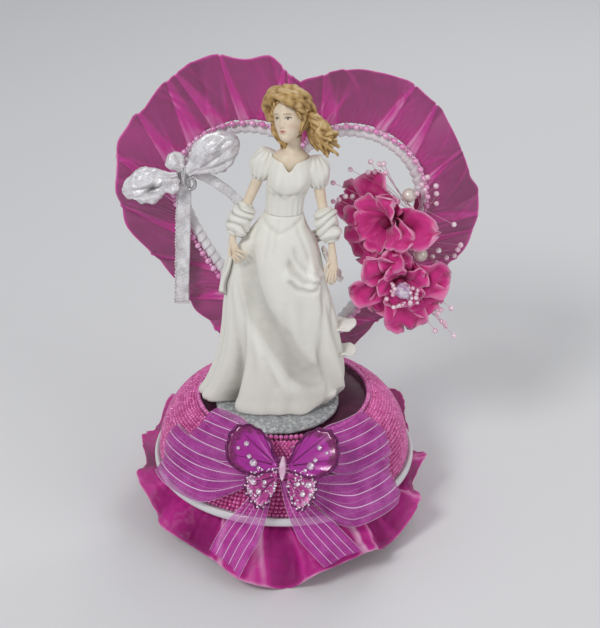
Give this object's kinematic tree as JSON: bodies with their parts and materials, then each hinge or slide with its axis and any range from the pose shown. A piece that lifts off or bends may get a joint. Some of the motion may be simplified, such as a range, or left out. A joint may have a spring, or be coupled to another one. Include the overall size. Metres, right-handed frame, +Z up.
{
  "type": "cake topper",
  "caption": "Bride figurine on a beaded dome in front of an organza-ruffled satin heart, with silk flowers, bows and a butterfly",
  "frame": {"origin": "centre of the flat underside of the foam foot, on the table", "axes": "+Z up, -Y the front that the figurine faces, +X to the right when seen from the front"},
  "size_m": [0.1737, 0.1625, 0.2211],
  "materials": {
    "foam": "expanded polystyrene foam",
    "white_plastic": "moulded white plastic, semi-gloss",
    "pink_beads": "pearlescent plastic beads",
    "plum_satin": "dark plum satin",
    "magenta_organza": "sheer organza with a wired edge",
    "steel_wire": "bright drawn wire",
    "white_satin": "satin ribbon",
    "silver_satin": "silver-white glitter satin",
    "silver_charm": "polished silver plate",
    "clear_resin": "clear cast resin with silver glitter",
    "ivory_resin": "ivory painted resin, satin",
    "skin_resin": "painted resin, matte",
    "hair_resin": "painted resin, golden blonde",
    "petal_fabric": "fuchsia silk petals",
    "lilac_crystal": "faceted lilac crystal",
    "ivory_pearl": "ivory pearl",
    "pink_stamens": "pink pearl stamens on wire",
    "striped_organza": "sheer organza ribbon with satin stripes",
    "butterfly_fabric": "sheer wings with glitter edges and rhinestones",
    "pink_gem": "pale pink cut stone"
  },
  "bodies": {
    "root": {"foam_foot": "foam", "base_plate": "white_plastic", "dome_core": "foam", "bead_sheet": "pink_beads", "top_liner": "plum_satin", "plateau_bead_ring": "pink_beads", "skirt_band": "magenta_organza", "skirt_ruffle": "magenta_organza", "skirt_under_ruffle": "magenta_organza", "heart_wire": "steel_wire", "heart_wrap": "white_satin", "heart_pearl_strand": "pink_beads", "heart_ruffle": "magenta_organza", "bow_knot": "silver_satin", "bow_loop_left": "silver_satin", "bow_loop_right": "silver_satin", "bow_small_loop_upper": "silver_satin", "bow_small_loop_lower": "silver_satin", "bow_hanging_tail": "silver_satin", "bow_rear_tail": "silver_satin", "bow_charm": "silver_charm", "figurine_stand": "clear_resin", "gown_skirt": "ivory_resin", "gown_bodice": "ivory_resin", "head_and_neck": "skin_resin", "hair": "hair_resin", "arm_right": "skin_resin", "sleeve_right": "ivory_resin", "shawl_wrap_right": "ivory_resin", "arm_left": "skin_resin", "sleeve_left": "ivory_resin", "shawl_wrap_left": "ivory_resin", "shawl_back": "ivory_resin", "shawl_tail_right": "ivory_resin", "shawl_tail_left": "ivory_resin", "flower_bundle": "petal_fabric", "blossom_upper_calyx": "petal_fabric", "blossom_upper_outer_petals": "petal_fabric", "blossom_upper_inner_petals": "petal_fabric", "blossom_lower_calyx": "petal_fabric", "blossom_lower_outer_petals": "petal_fabric", "blossom_lower_inner_petals": "petal_fabric", "crystal_cluster": "lilac_crystal", "big_pearl_upper": "ivory_pearl", "big_pearl_lower": "ivory_pearl", "stamens_top": "pink_stamens", "stamens_left": "pink_stamens", "stamens_right_upper": "pink_stamens", "stamens_right_lower": "pink_stamens", "stamens_lower": "pink_stamens", "ribbon_knot": "striped_organza", "ribbon_loop_left_upper": "striped_organza", "ribbon_loop_left_lower": "striped_organza", "ribbon_loop_right_upper": "striped_organza", "ribbon_loop_right_lower": "striped_organza", "ribbon_tail_left": "striped_organza", "ribbon_tail_right": "striped_organza", "butterfly_wings_left": "butterfly_fabric", "butterfly_wings_right": "butterfly_fabric", "butterfly_body": "pink_gem"}
  },
  "joints": []
}
